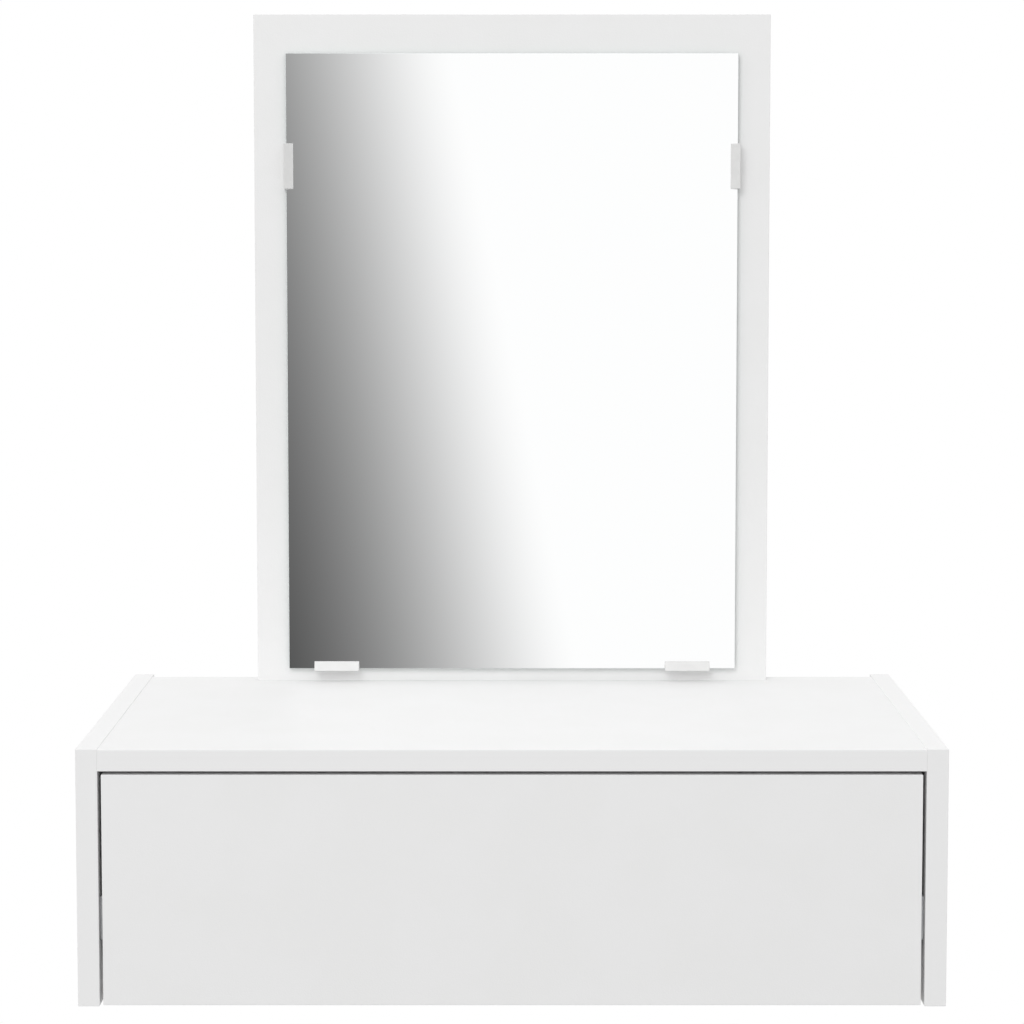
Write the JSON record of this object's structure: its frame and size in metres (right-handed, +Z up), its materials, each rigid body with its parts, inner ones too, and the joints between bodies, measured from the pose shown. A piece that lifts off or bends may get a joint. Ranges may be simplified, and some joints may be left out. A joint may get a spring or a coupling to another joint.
{
  "type": "dressing table",
  "caption": "Wall-hung white dressing table: a shallow box with a handleless drawer on ball slides and a tall mirror clipped to a board that stands at the back.",
  "frame": {"origin": "middle of the plan, level with the lower ends of the side panels", "axes": "+X to the viewer's right, +Y from the drawer front towards the wall, +Z up"},
  "size_m": [0.6, 0.3, 0.6995],
  "materials": {
    "white_board": "satin",
    "mirror": "polished",
    "clip_plastic": "satin",
    "slide_steel": "satin",
    "fastener_steel": "satin",
    "cam_zinc": "matte",
    "plate_steel": "satin",
    "cage_steel": "satin",
    "ball_steel": "polished",
    "dowel_beech": "matte",
    "hardboard": "satin"
  },
  "bodies": {
    "carcass": {"side_panel_left": "white_board", "side_panel_right": "white_board", "top_panel": "white_board", "back_panel": "white_board", "mirror_board": "white_board", "mirror_clip_bottom_left": "clip_plastic", "mirror_clip_bottom_right": "clip_plastic", "mirror_clip_side_left": "clip_plastic", "mirror_clip_side_right": "clip_plastic", "carcass_dowels": "dowel_beech", "mirror_board_dowels": "dowel_beech", "carcass_cam_bolts": "fastener_steel", "mirror_board_cam_bolts": "fastener_steel", "carcass_cam_discs": "cam_zinc", "mirror_board_cam_discs": "cam_zinc", "brace_plate_screws": "fastener_steel", "mirror_clip_screws": "fastener_steel", "slide_outer_screws": "fastener_steel", "slide_outer_left": "slide_steel", "slide_outer_right": "slide_steel", "brace_plate_left": "plate_steel", "brace_plate_right": "plate_steel", "mirror_glass": "mirror"},
    "drawer": {"drawer_front": "white_board", "drawer_side_left": "white_board", "drawer_side_right": "white_board", "drawer_back": "white_board", "drawer_bottom": "hardboard", "drawer_dowels": "dowel_beech", "drawer_cam_bolts": "fastener_steel", "drawer_cam_discs": "cam_zinc", "drawer_back_screws": "fastener_steel", "slide_inner_left": "slide_steel", "slide_inner_right": "slide_steel", "slide_inner_screws": "fastener_steel"},
    "ball_cage_left": {"ball_cage_left": "cage_steel", "slide_balls_left": "ball_steel"},
    "ball_cage_right": {"ball_cage_right": "cage_steel", "slide_balls_right": "ball_steel"}
  },
  "joints": [
    {"name": "drawer_slide", "type": "slide", "parent": "carcass", "child": "drawer", "axis": [0, -1, 0], "range_m": [0, 0.185]},
    {"name": "ball_cage_left_slide", "type": "slide", "parent": "carcass", "child": "ball_cage_left", "axis": [0, -1, 0], "range_m": [0, 0.0925]},
    {"name": "ball_cage_right_slide", "type": "slide", "parent": "carcass", "child": "ball_cage_right", "axis": [0, -1, 0], "range_m": [0, 0.0925]}
  ],
  "couplings": [
    {"joint": "ball_cage_left_slide", "follows": "drawer_slide", "ratio": 0.5},
    {"joint": "ball_cage_right_slide", "follows": "drawer_slide", "ratio": 0.5}
  ]
}
